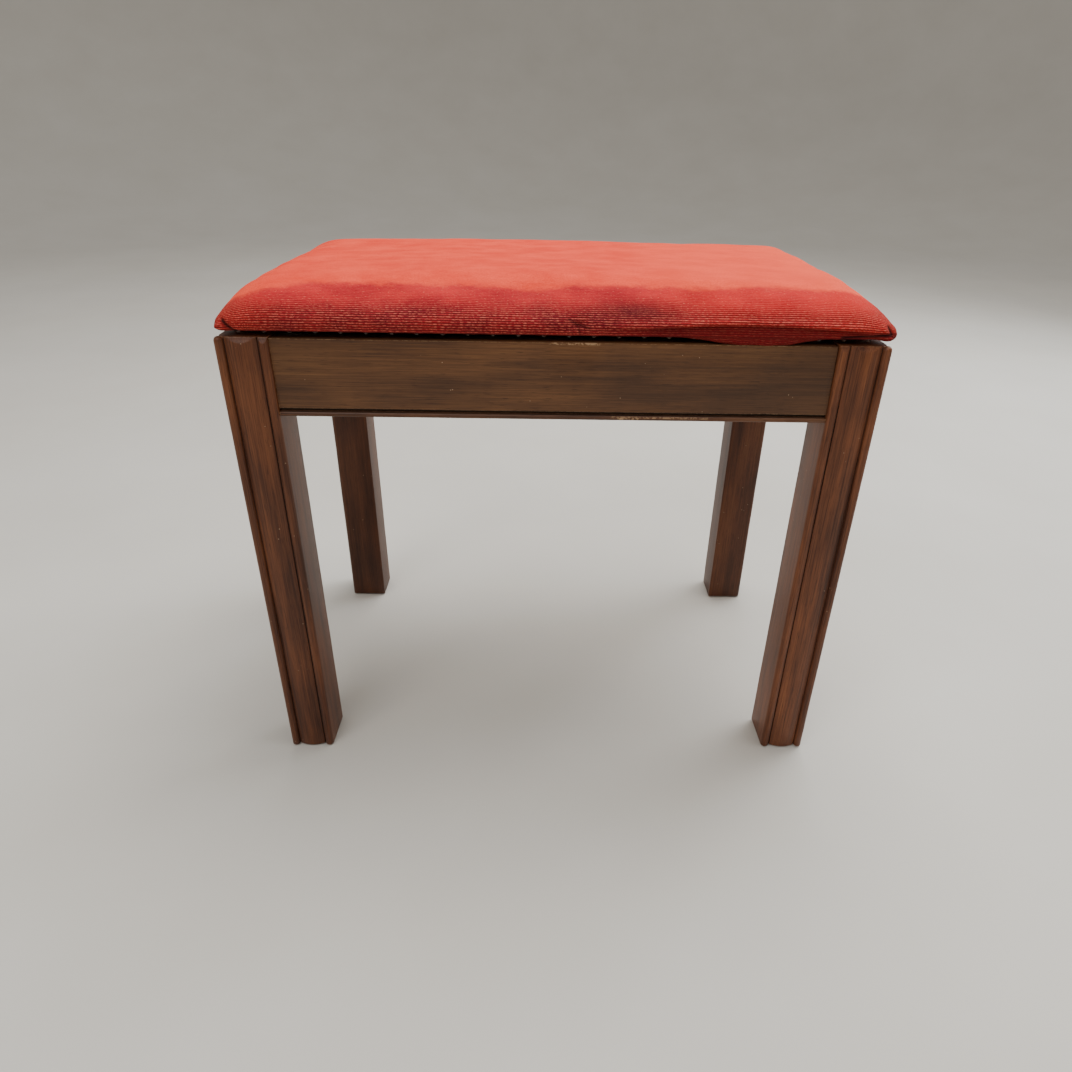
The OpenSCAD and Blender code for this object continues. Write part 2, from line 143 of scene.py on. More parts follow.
class Finish:
    """A material: a Principled shader and the nodes that feed it."""

    def __init__(self, name, **settings):
        self.material = bpy.data.materials.new(name)
        self.material.use_nodes = True
        self.tree = self.material.node_tree
        self.shader = self.tree.nodes["Principled BSDF"]
        for setting, value in settings.items():
            self.shader.inputs[setting.replace("_", " ")].default_value = value

    def node(self, kind, settings=(), sockets=(), out=0):
        made = self.tree.nodes.new("ShaderNode" + kind)
        for setting, value in dict(settings).items():
            if setting == "stops":
                ramp = made.color_ramp.elements
                while len(ramp) < len(value):
                    ramp.new(0.5)
                for stop, (place, colour) in zip(ramp, value):
                    stop.position, stop.color = place, (*colour, 1)
            else:
                setattr(made, setting, value)
        for socket, value in dict(sockets).items():
            self.join(made.inputs[socket], value)
        return made.outputs[out]

    def join(self, socket, value):
        value = plain(value)
        if isinstance(value, bpy.types.NodeSocket):
            self.tree.links.new(value, socket)
        elif isinstance(value, (tuple, list)) and socket.type == "RGBA":
            socket.default_value = (*value, 1)
        else:
            socket.default_value = value

    def set(self, socket, value):
        self.join(self.shader.inputs[socket], value)

    def place(self, scale, shift=(0, 0, 0)):
        """Object coordinates in metres, times scale along each axis."""
        where = self.node("TexCoord", out="Object")
        return self.node("Mapping", {}, {"Vector": where, "Location": shift, "Scale": scale})

    def noise(self, where, detail=2.0, roughness=0.5, scale=1.0):
        sockets = {"Vector": where, "Scale": scale, "Detail": detail, "Roughness": roughness}
        return Value(self, self.node("TexNoise", {}, sockets))

    def spots(self, where, size):
        """1 in a round spot in each cell of a Voronoi pattern, 0 outside."""
        sockets = {"Vector": where, "Scale": 1.0}
        near = Value(self, self.node("TexVoronoi", {}, sockets, out="Distance"))
        return 1 - near.between(size * 0.6, size)

    def attribute(self, name):
        return Value(self, self.node("Attribute", {"attribute_name": name}, out="Fac"))

    def mix(self, amount, a, b, way="MIX"):
        settings = {"data_type": "RGBA", "blend_type": way}
        return self.node("Mix", settings, {0: amount, 6: a, 7: b}, out=2)

    def ramp(self, value, *stops):
        return self.node("ValToRGB", {"stops": stops}, {0: value})

    def bump(self, height, depth, strength=1.0, after=None):
        sockets = {"Height": height, "Distance": depth, "Strength": strength}
        if after is not None:
            sockets["Normal"] = after
        return self.node("Bump", {}, sockets)


def paint(red, green, blue):
    """A screen colour from 0 to 255, as the linear light that shaders use."""
    def linear(v):
        v = v / 255
        return v / 12.92 if v <= 0.04045 else ((v + 0.055) / 1.055) ** 2.4

    return linear(red), linear(green), linear(blue)


# %% [markdown]
# The frame is hardwood, stained dark and polished. Its look is made of layers, each at
# its real size: wide soft bands of growth rings about 10 mm apart, fibres about 1 mm
# apart, short dark pores, and cloudy patches where the stain took unevenly. Polish has
# gone from the arrises, and small knocks show bare wood. One function makes the finish
# for all the pieces, because only the direction of the grain and the colours differ.
# Each mesh carries its own marks for wear, and for painted shade in grooves and on faces.

# %% Stained wood
def stained_wood(name, grain, deep, body, light, shift, bands):
    finish = Finish(name, Specular_IOR_Level=0.24, Coat_Roughness=0.3)
    along = {"x": 0, "y": 1, "z": 2}[grain]

    def stretched(across, length):
        scale = [across] * 3
        scale[along] = length
        return finish.place(scale, shift=shift)

    rings = finish.noise(stretched(95, 3.2), 3, 0.6)
    fibres = finish.noise(stretched(900, 16), 3, 0.65)
    pores = finish.noise(stretched(2300, 80), 1, 0.5).between(0.60, 0.70)
    clouds = finish.noise(stretched(26, 7), 3, 0.55)
    streaks = finish.noise(stretched(260, 5), 2, 0.6)
    tone = rings * bands + fibres * 0.34 + clouds * (0.56 - bands) + streaks * 0.10
    colour = finish.ramp(tone, (0.40, deep), (0.52, body), (0.66, light))
    colour = finish.mix(pores * 0.55, colour, [c * 0.35 for c in deep])
    # painted shade: a piece, or part of one, is darkened where it stands in shade
    colour = finish.mix(finish.attribute("shade"), colour, [c * 0.4 for c in deep])

    patchy = finish.noise(finish.place((420, 420, 420)), 2, 0.6).between(0.42, 0.6)
    worn = finish.attribute("wear") * patchy
    bare = finish.mix(fibres, paint(150, 112, 78), paint(205, 172, 132))
    colour = finish.mix(worn, colour, bare)
    knocks = finish.spots(finish.place((150, 150, 150), shift=shift), 0.09)
    rare = finish.noise(finish.place((38, 38, 38), shift=shift), 0).between(0.60, 0.63)
    colour = finish.mix(knocks * rare * 0.8, colour, paint(170, 140, 110))

    # painted shade: grooves and open joints are darkened almost to black
    grime = finish.attribute("grime")
    colour = finish.mix(grime * 0.85, colour, paint(16, 10, 8))
    finish.set("Base Color", colour)
    finish.set("Roughness", fibres * 0.10 + clouds * 0.10 + worn * 0.25 + grime * 0.2 + 0.38)
    finish.set("Coat Weight", 0.09 - worn * 0.09)
    relief = fibres * 0.5 + rings * 0.5 - pores * 0.5 - knocks * rare * 0.8
    finish.set("Normal", finish.bump(relief, 0.00012, 0.55))
    return finish.material


plain_grain = (0, 0, 0)
woods = {}
for slot, grain, deep, body, light, shift, bands in (
    ("leg_wood", "z", (66, 36, 23), (112, 65, 40), (150, 92, 56), plain_grain, 0.24),
    ("long_rail_wood", "x", (74, 48, 31), (103, 68, 42), (128, 88, 54), (7, 3, 5), 0.12),
    ("short_rail_wood", "y", (70, 45, 30), (97, 64, 40), (122, 84, 52), (2, 9, 4), 0.12),
    ("long_bead_wood", "x", (66, 42, 30), (101, 66, 45), (132, 92, 64), (4, 1, 8), 0.20),
    ("short_bead_wood", "y", (60, 38, 28), (90, 58, 40), (122, 84, 58), (6, 5, 1), 0.20),
):
    colours = (paint(*deep), paint(*body), paint(*light))
    woods[slot] = stained_wood(slot.replace("_", " "), grain, *colours, shift, bands)
print("wood finishes:", sorted(woods))

# %% [markdown]
# Inside the box the floor and the seat's board are bare plywood, which is pale, with
# long faint figure. The small metal parts are brass strip, dulled and spotted, and
# plain steel. The buffers are black rubber and the lining is a thin black cloth.

# %% Small finishes
def plywood():
    finish = Finish("plywood", Specular_IOR_Level=0.3)
    figure = finish.noise(finish.place((6, 120, 120)), 4, 0.6)
    fibres = finish.noise(finish.place((30, 1300, 1300)), 2, 0.6)
    stains = finish.noise(finish.place((14, 14, 14)), 3, 0.6)
    tone = figure * 0.5 + fibres * 0.25 + stains * 0.25
    stops = (0.35, paint(126, 92, 58)), (0.55, paint(176, 140, 96)), (0.7, paint(205, 172, 126))
    finish.set("Base Color", finish.ramp(tone, *stops))
    finish.set("Roughness", 0.6 + fibres * 0.25)
    finish.set("Normal", finish.bump(fibres, 0.0001, 0.5))
    return finish.material


def worn_metal(name, bright, dull, shine):
    finish = Finish(name, Metallic=1.0)
    spots = finish.noise(finish.place((260, 260, 260)), 4, 0.65)
    scratches = finish.noise(finish.place((60, 2400, 2400)), 1, 0.5)
    finish.set("Base Color", finish.mix(spots.between(0.42, 0.66), bright, dull))
    finish.set("Roughness", shine + spots * 0.25 + scratches * 0.08)
    finish.set("Normal", finish.bump(spots * 0.6 + scratches * 0.4, 0.00004, 0.5))
    return finish.material


def dull_rubber():
    finish = Finish("rubber")
    bloom = finish.noise(finish.place((400, 400, 400)), 3, 0.6)
    finish.set("Base Color", finish.mix(bloom, paint(22, 22, 22), paint(52, 50, 48)))
    finish.set("Roughness", 0.6 + bloom * 0.3)
    finish.set("Normal", finish.bump(bloom, 0.0001, 0.4))
    return finish.material


def woven_lining():
    finish = Finish("lining cloth", Sheen_Weight=0.2)
    across = finish.noise(finish.place((1600, 60, 60)), 1, 0.5)
    down = finish.noise(finish.place((60, 1600, 60)), 1, 0.5)
    dust = finish.noise(finish.place((40, 40, 40)), 3, 0.6)
    weave = across * 0.5 + down * 0.5
    worn_black = finish.mix(weave * 0.6 + dust * 0.4, paint(18, 17, 18), paint(58, 54, 54))
    finish.set("Base Color", worn_black)
    finish.set("Roughness", 0.8 + weave * 0.15)
    finish.set("Normal", finish.bump(weave, 0.0003, 0.6))
    return finish.material


def cotton_wadding():
    finish = Finish("wadding")
    fluff = finish.noise(finish.place((180, 180, 180)), 5, 0.7)
    finish.set("Base Color", finish.mix(fluff, paint(186, 172, 140), paint(232, 222, 196)))
    finish.set("Roughness", 0.85 + fluff * 0.1)
    finish.set("Normal", finish.bump(fluff, 0.001, 0.5))
    return finish.material


brass = worn_metal("brass", paint(196, 158, 92), paint(112, 86, 52), 0.28)
steel = worn_metal("steel", paint(190, 188, 184), paint(112, 108, 104), 0.24)
finishes = {
    **woods, "plywood": plywood(), "brass": brass, "steel": steel, "rubber": dull_rubber(),
    "lining_cloth": woven_lining(), "wadding": cotton_wadding(),
}
print("finishes:", sorted(finishes))

# %% [markdown]
# The seat is covered in ribbed plush. Its rows are about 2 mm apart and run across the
# bench, over the front edge and down to the tacks. The pile is worn and faded to salmon
# where people sit, and the top is also painted lighter as painted light from above. The
# sides keep their deep red, with painted shade towards the bottom, under the front lip, in
# the folds and between the rows, painted light towards the ends and painted highlights on
# the crests of the rows. The rows have to follow the cloth round the edges, so they read a
# UV map that is measured along the cloth, and the fading reads an attribute from the shape
# at rest, so it doesn't slide when the lid opens.

# %% Ribbed plush
rib_pitch = 0.0021


def ribbed_plush():
    finish = Finish("velvet", Specular_IOR_Level=0.12, Sheen_Weight=0.22, Sheen_Roughness=0.5)
    finish.shader.inputs["Sheen Tint"].default_value = (*paint(255, 116, 98), 1)
    cloth = finish.node("UVMap", {"uv_map": "cloth"})

    def on_cloth(along, across):
        return finish.node("Mapping", {}, {"Vector": cloth, "Scale": (along, across, 1)})

    across = Value(finish, finish.node("SeparateXYZ", {}, {0: cloth}, out="Y"))
    wander = finish.noise(on_cloth(30, 30), 1) * 0.0010
    turns = (across + wander) * (2 * math.pi / rib_pitch)
    rib = Value(finish, finish.node("Math", {"operation": "SINE"}, {0: turns})) * 0.5 + 0.5
    tufts = finish.noise(on_cloth(700, 480), 2, 0.6)
    strokes = finish.noise(on_cloth(330, 900), 2, 0.6).between(0.44, 0.64)
    sparks = finish.noise(on_cloth(480, 900), 1, 0.5).between(0.60, 0.70)
    clouds = finish.noise(on_cloth(24, 40), 4, 0.6)
    brushed = finish.noise(on_cloth(90, 130), 3, 0.65)

    crown, depth, orange = map(finish.attribute, ("crown", "depth", "orange"))
    upper = finish.mix(clouds.between(0.3, 0.7), paint(164, 22, 34), paint(200, 42, 44))
    lower = finish.mix(clouds.between(0.35, 0.65), paint(120, 20, 32), paint(166, 34, 40))
    # painted shade: the sides get darker towards the bottom
    side = finish.mix((depth + brushed * 0.5 - 0.25).between(0.15, 0.8), upper, lower)
    # painted light: the sides get brighter and warmer towards the ends
    warm = finish.mix(depth, paint(204, 34, 26), paint(204, 44, 34))
    side = finish.mix(orange * 0.75, side, warm)
    # painted highlights: light strokes on the crests of the rows, low on the sides
    side = finish.mix(strokes * rib * depth * 0.75, side, paint(238, 120, 96))
    # painted shade in the hollows between the rows
    side = finish.mix((1 - rib) * depth.between(0.1, 0.8) * 0.75, side, paint(70, 8, 18))
    side = finish.mix(finish.attribute("soil") * (0.35 + clouds * 0.6), side, paint(58, 22, 26))
    # painted highlights: small bright glints on the crests of the rows
    side = finish.mix(sparks * rib * 0.4, side, paint(244, 132, 104))
    # painted shade on the slack cloth under the front lip
    side = finish.mix(finish.attribute("tucked") * 0.7, side, paint(90, 12, 20))
    # painted shade in the folds and slits at the corners and in the pucker
    side = finish.mix(finish.attribute("fold"), side, paint(22, 4, 6))
    top = finish.mix(clouds.between(0.3, 0.7), paint(228, 60, 36), paint(250, 84, 56))
    # painted light: the top gets brighter towards the ends
    top = finish.mix(orange * 0.6, top, paint(255, 100, 62))
    top = finish.mix(tufts.between(0.35, 0.7) * 0.35, top, paint(208, 54, 42))
    # painted shade in the hollows between the rows on the top
    top = finish.mix((1 - rib) * 0.10, top, paint(170, 38, 34))
    # the top is faded where people sit, and also painted lighter as painted light from above
    colour = finish.mix((crown + brushed * 0.8 - 0.4).between(0.2, 0.8), side, top)
    finish.set("Base Color", colour)
    finish.set("Roughness", 0.8 + tufts * 0.15)
    height = rib * (0.25 + depth * 0.6) + tufts * 0.5 + strokes * 0.3
    finish.set("Normal", finish.bump(height, 0.0009, 0.8))
    return finish.material


finishes["velvet"] = ribbed_plush()

# %% [markdown]
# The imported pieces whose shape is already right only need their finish. The record gives
# each node's material slot, so the finish is looked up by that name.

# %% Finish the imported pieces
for entry in frame["record"]["subparts"]:
    piece = nodes[entry["node"]]
    piece.data.materials.clear()
    piece.data.materials.append(finishes[entry["material_slot"]])
print("finished", len(nodes), "packed pieces")

# %% [markdown]
# The legs, rails and beads come next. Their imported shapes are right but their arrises
# are as sharp as a drawing, and a real polished arris is soft and catches a thin line of
# light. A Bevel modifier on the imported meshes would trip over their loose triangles, so
# each piece is made again: its section is drawn with a pen, extruded to its length, and
# its sharp edges are found by angle and bevelled. The pieces are drawn in millimetres.
# Two smooth curves are defined here as well, a bump and a step. They shade wear and folds.

# %% A pen for sections
def bell(value, middle, width):
    return np.exp(-(((value - middle) / width) ** 2))


def ramp_up(value, low, high):
    t = np.clip((value - low) / (high - low), 0, 1)
    return t * t * (3 - 2 * t)


def start(drawing, x, y):
    return drawing.verts.new((x, y, 0))


def line(drawing, tip, x, y):
    end = bmesh.ops.extrude_vert_indiv(drawing, verts=[tip])["verts"][0]
    end.co = (x, y, 0)
    return end


def arc(drawing, tip, x, y, degrees, steps):
    """Turns the pen about (x, y), anticlockwise."""
    turned = bmesh.ops.spin(
        drawing, geom=[tip], cent=(x, y, 0), axis=(0, 0, 1), dvec=(0, 0, 0),
        angle=math.radians(degrees), steps=steps, use_merge=False,
    )
    return [v for v in turned["geom_last"] if isinstance(v, bmesh.types.BMVert)][0]


def extrude(drawing, length):
    """Fills the closed outline and pulls it up by length."""
    bmesh.ops.remove_doubles(drawing, verts=drawing.verts[:], dist=0.005)
    face = bmesh.ops.contextual_create(drawing, geom=drawing.edges[:])["faces"]
    pulled = bmesh.ops.extrude_face_region(drawing, geom=face)["geom"]
    raised = [v for v in pulled if isinstance(v, bmesh.types.BMVert)]
    bmesh.ops.translate(drawing, verts=raised, vec=(0, 0, length))
    bmesh.ops.recalc_face_normals(drawing, faces=drawing.faces[:])


def rings(drawing, axis, low, high, pitch):
    """Adds rings of edges across the length, so that a long edge can wander a little."""
    count = round((high - low) / pitch)
    for i in range(1, count):
        place, away = [0, 0, 0], [0, 0, 0]
        place[axis], away[axis] = low + (high - low) * i / count, 1
        everything = drawing.verts[:] + drawing.edges[:] + drawing.faces[:]
        bmesh.ops.bisect_plane(drawing, geom=everything, plane_co=place, plane_no=away)


def soften(drawing, width):
    """Bevels the sharp edges and marks the new faces as worn."""
    drawing.normal_update()
    wear = drawing.faces.layers.float.new("wear")
    sharp_angle = math.radians(28)
    sharp = [e for e in drawing.edges if len(e.link_faces) == 2 and e.calc_face_angle() > sharp_angle]
    made = bmesh.ops.bevel(
        drawing, geom=sharp, offset=width, offset_type="OFFSET", segments=2,
        profile=0.5, affect="EDGES", material=-1, clamp_overlap=True,
    )
    for face in made["faces"]:
        face[wear] = 1.0


def show(drawing, name, slot, stands_for, turn):
    """Makes the drawing an object of the bench's frame, in metres and in place."""
    bmesh.ops.transform(drawing, matrix=Matrix.Scale(mm, 4) @ turn, verts=drawing.verts[:])
    bmesh.ops.recalc_face_normals(drawing, faces=drawing.faces[:])
    data = bpy.data.meshes.new(name)
    drawing.to_mesh(data)
    drawing.free()
    data.shade_smooth()
    data.set_sharp_from_angle(angle=math.radians(35))
    data.materials.append(finishes[slot])
    piece = bpy.data.objects.new(name, data)
    bpy.context.scene.collection.objects.link(piece)
    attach(piece, "bench_frame")
    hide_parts(stands_for)
    return piece


def open_edges(piece):
    counted = bmesh.new()
    counted.from_mesh(piece.data)
    bad = sum(len(e.link_faces) != 2 for e in counted.edges)
    counted.free()
    return bad


# %% [markdown]
# A leg is moulded on its two outer faces: a bead on the corner, a groove, a wide reed, a
# second groove and a bead beside the rail. The pen draws one face and half the corners,
# and a copy with x and y exchanged gives the other half. At the top each outer face is
# bevelled, which cuts the rounded reed in a shallow curve.

# %% Legs
leg_width, leg_top, foot = 44.5, 448.0, 2.0
bevel_deep, bevel_tall = 3.0, 5.0
bead_middle, quirk_deep = 4.2, 3.8


def draw_leg():
    leg = bmesh.new()
    tip = start(leg, 4 - 4 * math.sqrt(0.5), 4 - 4 * math.sqrt(0.5))
    tip = arc(leg, tip, 4, 4, 122, 10)
    tip = line(leg, tip, 8.05, quirk_deep)
    tip = line(leg, tip, 8.95, quirk_deep)
    tip = line(leg, tip, 8.95, 3.0)
    half_reed, reed_rise = 13.05, 3.0
    radius = (half_reed ** 2 + reed_rise ** 2) / (2 * reed_rise)
    tip = arc(leg, tip, 22, radius, 2 * math.degrees(math.asin(half_reed / radius)), 16)
    tip = line(leg, tip, 35.05, quirk_deep)
    tip = line(leg, tip, 36.02, 3.81)
    tip = arc(leg, tip, 40.25, 4.25, 174, 14)
    tip = line(leg, tip, leg_width, leg_width - 1.5)
    arc(leg, tip, leg_width - 1.5, leg_width - 1.5, 45, 3)
    half = leg.verts[:] + leg.edges[:]
    other = bmesh.ops.duplicate(leg, geom=half)["geom"]
    exchange = Matrix(((0, 1, 0, 0), (1, 0, 0, 0), (0, 0, 1, 0), (0, 0, 0, 1)))
    copied = [v for v in other if isinstance(v, bmesh.types.BMVert)]
    bmesh.ops.transform(leg, matrix=exchange, verts=copied)
    extrude(leg, leg_top - foot)
    bmesh.ops.translate(leg, verts=leg.verts[:], vec=(0, 0, foot))
    return leg


def shape_top(leg):
    """Bevels the two outer faces at the top and rounds the bead on the corner."""
    rings(leg, 2, leg_top - bevel_tall, leg_top, 0.3)
    wear = leg.faces.layers.float.get("wear")
    for vert in leg.verts:
        up = (vert.co.z - (leg_top - bevel_tall)) / bevel_tall
        if up < 0:
            continue
        roll = min(1, max(0, (up - 0.65) / 0.35))
        inset = bevel_deep * (0.9 * min(up, 0.65) + 0.415 * (1 - math.sqrt(1 - roll)))
        if vert.co.x < 7.9 and vert.co.y < 7.9:
            shrink = math.sqrt(1 - 0.8 * up ** 3)
            vert.co.x = bead_middle + (vert.co.x - bead_middle) * shrink
            vert.co.y = bead_middle + (vert.co.y - bead_middle) * shrink
        else:
            vert.co.y = max(vert.co.y, inset) if vert.co.x > 7.9 else vert.co.y
            vert.co.x = max(vert.co.x, inset) if vert.co.y > 7.9 else vert.co.x
    for face in leg.faces:
        if face.calc_center_median().z > leg_top - bevel_tall:
            face[wear] *= 0.5


def dress_leg(leg, seed, darker):
    """Softens a leg, shapes its top, and marks its wear, the painted shade in its grooves and the
    painted shade over the whole leg.
    """
    soften(leg, 0.25)
    rings(leg, 2, foot, leg_top - 8, 22)
    shape_top(leg)
    marks = leg.faces.layers.float
    for layer in ("grime", "shade"):
        marks.new(layer)
    wear, grime, shade = marks.get("wear"), marks.get("grime"), marks.get("shade")
    for face in leg.faces:
        middle = face.calc_center_median()
        for along, deep in ((middle.x, middle.y), (middle.y, middle.x)):
            if deep > 1.6 and deep < 4.6 and (7.2 < along < 9.6 or 34.4 < along < 36.8):
                face[wear] = 0
            # painted shade in the grooves, darkest low in the inner groove
            if deep > 3.2 and deep < 4.6 and (7.7 < along < 9.2 or 34.8 < along < 36.3):
                face[grime] = 0.6 if along < 20 or middle.z > 395 else 0.95
        face[shade] = darker
    for vert in leg.verts:
        near = Vector((vert.co.x * 0.04, vert.co.y * 0.04, vert.co.z * 0.02))
        vert.co.x += 0.18 * noise.noise(near + Vector((seed, 0, 0)))
        vert.co.y += 0.14 * noise.noise(Vector((seed, 0, vert.co.z * 0.025)))


# the last number is painted shade over the whole leg: the rear legs stand in the seat's shadow and
# the left ones get less light
for seed, (name, across, back, darker) in enumerate((
    ("front_left", -1, -1, 0.26), ("front_right", 1, -1, 0.0),
    ("rear_left", -1, 1, 0.6), ("rear_right", 1, 1, 0.42),
)):
    leg = draw_leg()
    dress_leg(leg, seed * 7.3, darker)
    corner = Matrix.Diagonal((-across, -back, 1, 1)) @ Matrix.Translation((-280, -170, 0))
    piece = show(leg, f"leg.{name}", "leg_wood", f"leg_{name}", corner)
    print(piece.name, len(piece.data.polygons), "faces,", open_edges(piece), "open edges")

# %% [markdown]
# A rail is a plain board with a rebate along its lower front edge, and the bead under it
# closes the rebate to a dark groove. The front rail is worn to bare wood in the middle
# of its top edge, where hands lift the lid, and its bead has lost a few splinters. The
# sections are drawn once and turned to each of the four sides.

# %% Rails and beads
rail_back, rail_top, rail_low, bead_low = 3.5, 447.0, 384.5, 380.0
rail_inside, ledge_inside = 21.5, 28.5
groove_top, groove_back = 387.3, 6
open_joint = 1.0


def side_of_bench(turn, half_depth):
    """From a section drawn as (depth, height) and pulled along z, to a side of the bench."""
    lay = Matrix(((0, 0, 1, 0), (1, 0, 0, 0), (0, 1, 0, 0), (0, 0, 0, 1)))
    outward_by = Matrix.Translation((0, -half_depth, 0))
    return Matrix.Rotation(math.radians(turn), 4, "Z") @ outward_by @ lay


def draw_rail(length):
    rail = bmesh.new()
    tip = first = start(rail, rail_back, rail_top)
    for x, y in (
        (rail_back, groove_top), (groove_back, groove_top), (groove_back, rail_low),
        (rail_inside, rail_low), (rail_inside, rail_top),
    ):
        tip = line(rail, tip, x, y)
    rail.edges.new((tip, first))
    extrude(rail, length)
    bmesh.ops.translate(rail, verts=rail.verts[:], vec=(0, 0, -length / 2))
    return rail


def draw_bead(length):
    bead = bmesh.new()
    nose, proud = (rail_low - bead_low) / 2, 1.2
    tip = first = start(bead, rail_back - proud + nose, rail_low)
    tip = arc(bead, tip, rail_back - proud + nose, bead_low + nose, 180, 12)
    tip = line(bead, tip, ledge_inside, bead_low)
    tip = line(bead, tip, ledge_inside, rail_low)
    bead.edges.new((tip, first))
    extrude(bead, length)
    bmesh.ops.translate(bead, verts=bead.verts[:], vec=(0, 0, -length / 2))
    return bead


def dent(board, places):
    """Pushes the front edge back at (along, height, half width, depth) places."""
    for vert in board.verts:
        for along, height, half, deep in places:
            near = bell(vert.co.z, along, half) * bell(vert.co.y, height, 1.6)
            if near > 0.05 and vert.co.x < 5:
                vert.co.x += deep * near


def mark(board, layer, places):
    """Marks faces near (along, height, half width, half height, amount) places."""
    marks = board.faces.layers.float.get(layer) or board.faces.layers.float.new(layer)
    for face in board.faces:
        middle = face.calc_center_median()
        for along, height, half, tall, amount in places:
            if abs(middle.z - along) < half and abs(middle.y - height) < tall and middle.x < 12:
                face[marks] = amount


def age_front(rail, bead, length):
    """The front rail and bead are knocked and worn bare, the rail gets painted shade towards its ends
    and in its open joint, and it is loose at the right end.
    """
    dent(rail, ((6, rail_top, 9, 0.7), (27, rail_top, 8, 0.9), (183, groove_top, 9, 0.8)))
    dent(bead, ((61, 382, 7, 0.9), (-120, 382, 12, 0.5), (140, 383, 10, 0.4)))
    mark(rail, "wear", ((16, rail_top, 22, 1.3, 0.85), (183, groove_top + 0.1, 12, 0.8, 1.0)))
    # painted shade in the open joint at the right end
    mark(rail, "grime", ((length / 2, 424, 3, 24, 0.7),))
    # painted shade: the rail darkens towards both ends, most towards the right
    shade = rail.faces.layers.float.new("shade")
    for face in rail.faces:
        along = face.calc_center_median().z
        face[shade] = 0.40 * float(ramp_up(along, 40, 235)) + 0.20 * float(ramp_up(-along, 130, 235))
    for vert in rail.verts:
        if vert.co.z > length / 2 - 3:
            vert.co.z -= open_joint * min(1, max(0, (vert.co.y - 392) / 30))
    mark(bead, "wear", ((61, 382.5, 9, 1.2, 1.0), (90, 383, 40, 0.9, 0.5)))


sides = (
    ("front", 0, 170, 471, "long"), ("rear", 180, 170, 471, "long"),
    ("left", -90, 280, 251, "short"), ("right", 90, 280, 251, "short"),
)
for name, turn, half_depth, length, kind in sides:
    rail, bead = draw_rail(length), draw_bead(length - 0.2)
    everything = rail.verts[:] + rail.edges[:] + rail.faces[:]
    strip = (0, rail_top - 1.7, 0)
    bmesh.ops.bisect_plane(rail, geom=everything, plane_co=strip, plane_no=(0, 1, 0))
    for board in (rail, bead):
        rings(board, 2, -length / 2, length / 2, 6)
        soften(board, 0.45 if board is rail else 0.3)
        for vert in board.verts:
            place = Vector((vert.co.y * 0.1, turn, vert.co.z * 0.03))
            vert.co.x += 0.12 * noise.noise(place)
    wear = rail.faces.layers.float.get("wear")
    for face in rail.faces:
        face[wear] *= 0.35
    if name == "front":
        age_front(rail, bead, length)
    # painted shade in the groove between the rail and its bead
    mark(rail, "grime", ((0, 386.5, length, 1.0, 0.9),))
    mark(bead, "grime", ((0, 384.4, length, 0.35, 0.8),))
    lay = side_of_bench(turn, half_depth)
    for board, what in ((rail, "rail"), (bead, "bead")):
        piece = show(board, f"{what}.{name}", f"{kind}_{what}_wood", f"{what}_{name}", lay)
        print(piece.name, len(piece.data.polygons), "faces,", open_edges(piece), "open edges")

# %% [markdown]
# The seat is soft, so its shape comes from mesh work on many points at once. These helpers
# apply a piece's modifiers, and read and write its points as rows of millimetres.

# %% Helpers for soft pieces
def settle(piece):
    """Applies the modifiers of a piece."""
    bpy.context.view_layer.update()
    evaluated = piece.evaluated_get(bpy.context.evaluated_depsgraph_get())
    ready = bpy.data.meshes.new_from_object(evaluated)
    piece.modifiers.clear()
    old, piece.data = piece.data, ready
    bpy.data.meshes.remove(old)


def points(data):
    """The vertices as rows of millimetres."""
    flat = np.empty(len(data.vertices) * 3, np.float32)
    data.vertices.foreach_get("co", flat)
    return flat.reshape(-1, 3).astype(float) / mm


def move_points(data, where):
    data.vertices.foreach_set("co", (where * mm).astype(np.float32).ravel())
    data.update()


def outward(data):
    flat = np.empty(len(data.vertices) * 3, np.float32)
    data.vertices.foreach_get("normal", flat)
    return flat.reshape(-1, 3).astype(float)


def waves(where, size, seed):
    """Smooth noise from -1 to 1 with lumps of about the given size in millimetres."""
    offset = Vector((seed, seed * 1.7, 0))
    return np.array([noise.noise(Vector(p) / size + offset) for p in where])


# %% [markdown]
# The cover of a padded seat could be drawn with curves, but a real one is higher in the
# middle and steep at its edges, and its corners stay low. So the pad starts as a low box
# with rounded corners. Its top is raised by a height that grows from every edge, and it is
# remeshed to an even grid, which the cloth simulation needs.

# %% The pad before it swells
seat_low, seat_left, seat_right, seat_front, seat_rear = 452.0, -281.0, 285.5, -171.0, 168.5
wall, dome = 5.0, 30.0
shoulder_across, shoulder_back = 46.0, 62.0


def rise(distance, width):
    """0 at the edge and 1 past the shoulder, steep at first and then ever flatter."""
    t = np.clip(distance / width, 0, 1)
    return (1 - (1 - t) ** 1.9) ** (1 / 1.9)


def pad_height(x, y):
    """The height of the top of the pad over a place on the seat."""
    from_side = rise(np.minimum(x - seat_left, (seat_right - x) * 0.9), shoulder_across)
    from_front = rise(np.minimum(y - seat_front, seat_rear - y), shoulder_back)
    return seat_low + wall + dome * from_side * from_front


def remesh(piece, size):
    grid = piece.modifiers.new("grid", "REMESH")
    grid.mode, grid.voxel_size = "VOXEL", size * mm
    settle(piece)


